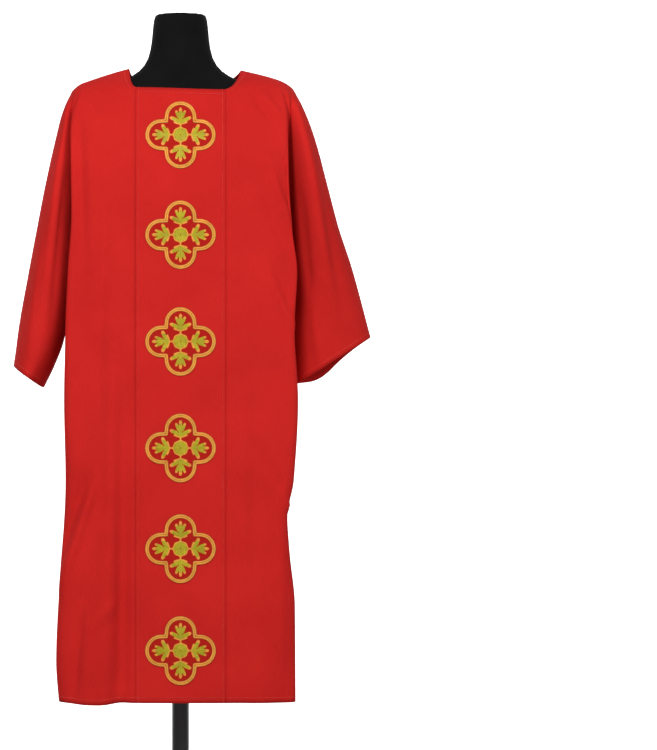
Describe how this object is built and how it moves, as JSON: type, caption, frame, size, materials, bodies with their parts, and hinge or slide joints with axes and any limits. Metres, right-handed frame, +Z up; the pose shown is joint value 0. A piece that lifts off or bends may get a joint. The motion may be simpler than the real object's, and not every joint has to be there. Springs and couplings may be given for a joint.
{
  "type": "dalmatic on a dress form",
  "caption": "Red wide-sleeved dalmatic, cut in a T, with a centre panel and gold quatrefoils, hollow, worn by a black limbless dress form on a round stand.",
  "frame": {"origin": "centre of the stand base's flat underside, on the floor", "axes": "+Z up, -Y the way the garment's front faces, +X to the viewer's right when looking at the front"},
  "size_m": [0.732, 0.38, 1.631],
  "materials": {
    "red_cloth": "smooth matt woven cloth with a faint sheen",
    "gold_embroidery": "satin-stitched gold and olive thread with a soft shine",
    "form_jersey": "matt black stretch jersey",
    "stand_metal": "satin black powder coat"
  },
  "bodies": {
    "root": {"front_centre_panel": "red_cloth", "front_left_side": "red_cloth", "front_right_side": "red_cloth", "back_centre_panel": "red_cloth", "back_left_side": "red_cloth", "back_right_side": "red_cloth", "front_quatrefoil_1": "gold_embroidery", "front_quatrefoil_2": "gold_embroidery", "front_quatrefoil_3": "gold_embroidery", "front_quatrefoil_4": "gold_embroidery", "front_quatrefoil_5": "gold_embroidery", "front_quatrefoil_6": "gold_embroidery", "back_quatrefoil_1": "gold_embroidery", "back_quatrefoil_2": "gold_embroidery", "back_quatrefoil_3": "gold_embroidery", "back_quatrefoil_4": "gold_embroidery", "back_quatrefoil_5": "gold_embroidery", "back_quatrefoil_6": "gold_embroidery", "form_bust": "form_jersey", "stand_pole": "stand_metal", "stand_base": "stand_metal"}
  },
  "joints": []
}
